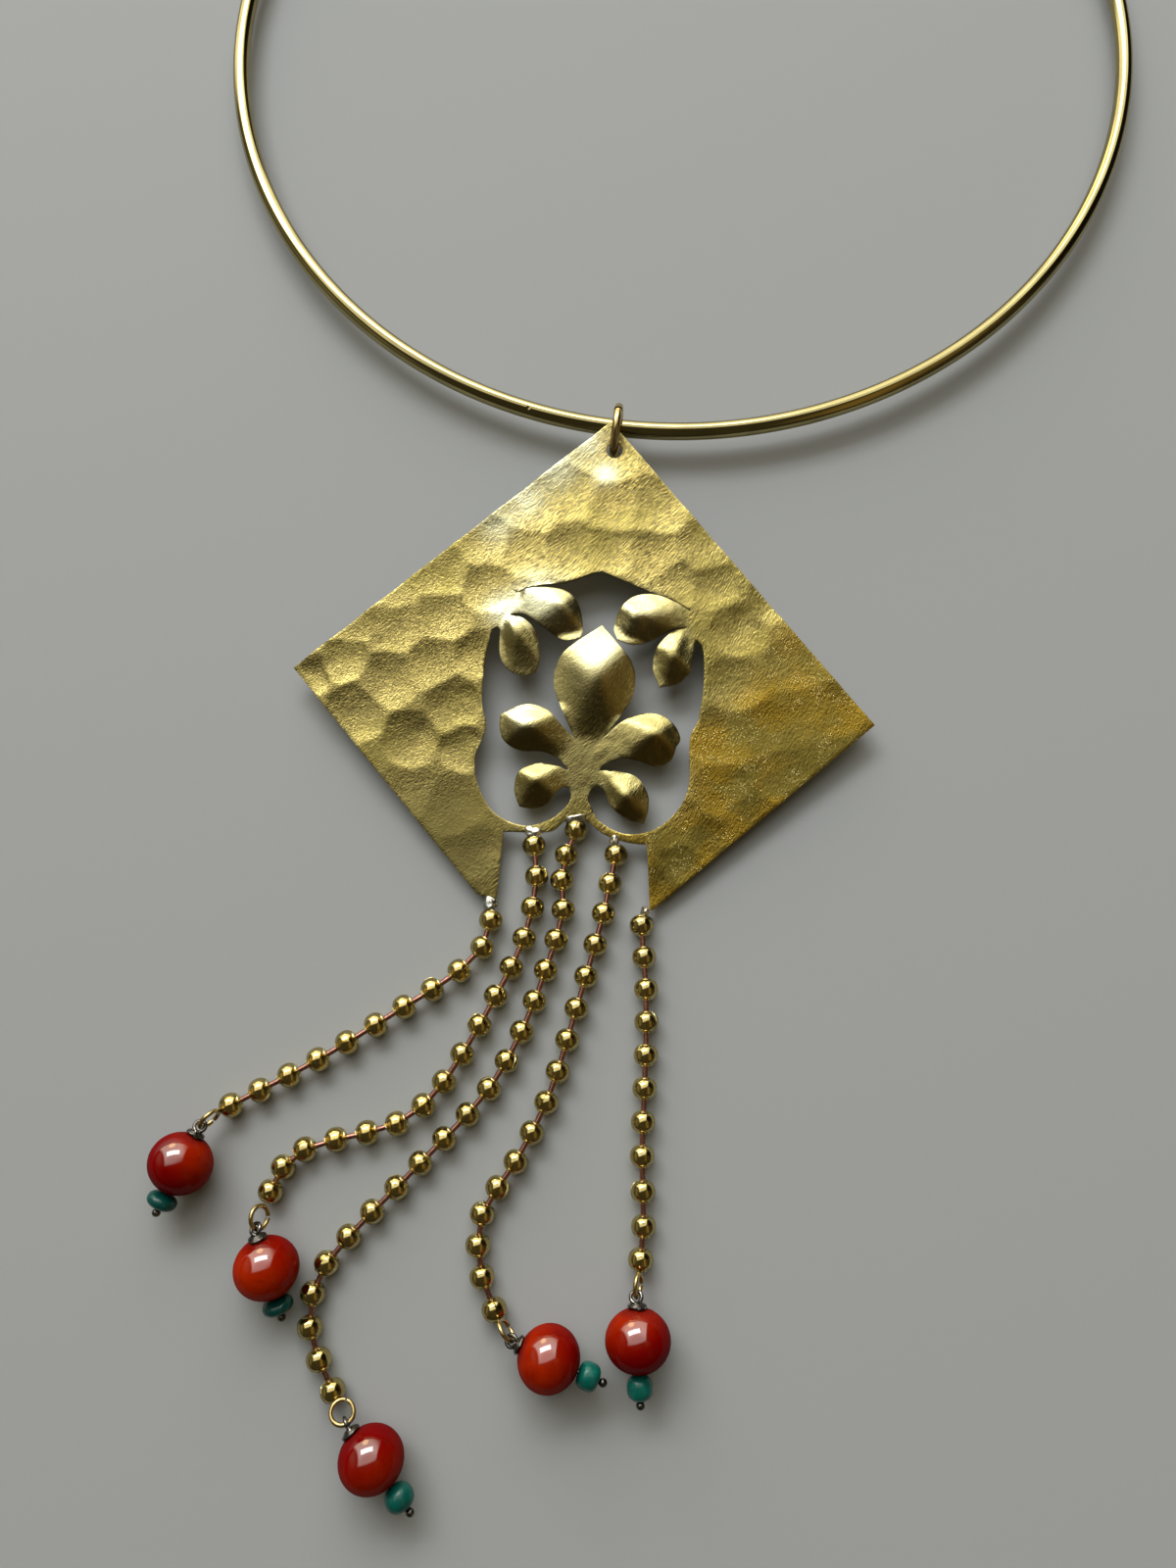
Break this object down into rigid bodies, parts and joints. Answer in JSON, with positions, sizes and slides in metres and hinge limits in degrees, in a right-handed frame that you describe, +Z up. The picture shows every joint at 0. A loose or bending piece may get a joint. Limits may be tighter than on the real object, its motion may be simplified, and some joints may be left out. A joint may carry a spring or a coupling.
{
  "type": "choker",
  "caption": "Stiff round neck ring with a square hammered brass plate pierced by leaves, and ball chains that end in red and green beads.",
  "frame": {"origin": "bottom centre of the whole choker's bounding box as it lies, on the surface", "axes": "+Y from the beads to the back of the neck, +X to the wearer's left, +Z up, away from the surface"},
  "size_m": [0.1396, 0.2746, 0.0083],
  "materials": {
    "gilt": "polished, pale gold",
    "sheet_brass": "hammered and finely scratched, satin",
    "wire_brass": "polished wire",
    "dark_wire": "oxidised silver, dark",
    "red_stone": "polished orange-red stone, opaque",
    "green_stone": "dark teal-green, satin, opaque"
  },
  "bodies": {
    "root": {"neck_ring": "gilt", "barrel_clasp": "gilt", "jump_ring": "wire_brass", "pendant_plate": "sheet_brass", "chain_1": "gilt", "chain_2": "gilt", "chain_3": "gilt", "chain_4": "gilt", "chain_5": "gilt", "link_ring_1": "wire_brass", "link_ring_2": "wire_brass", "link_ring_3": "wire_brass", "link_ring_4": "wire_brass", "link_ring_5": "wire_brass", "head_pin_1": "dark_wire", "head_pin_2": "dark_wire", "head_pin_3": "dark_wire", "head_pin_4": "dark_wire", "head_pin_5": "dark_wire", "red_bead_1": "red_stone", "red_bead_2": "red_stone", "red_bead_3": "red_stone", "red_bead_4": "red_stone", "red_bead_5": "red_stone", "green_bead_1": "green_stone", "green_bead_2": "green_stone", "green_bead_3": "green_stone", "green_bead_4": "green_stone", "green_bead_5": "green_stone"}
  },
  "joints": []
}
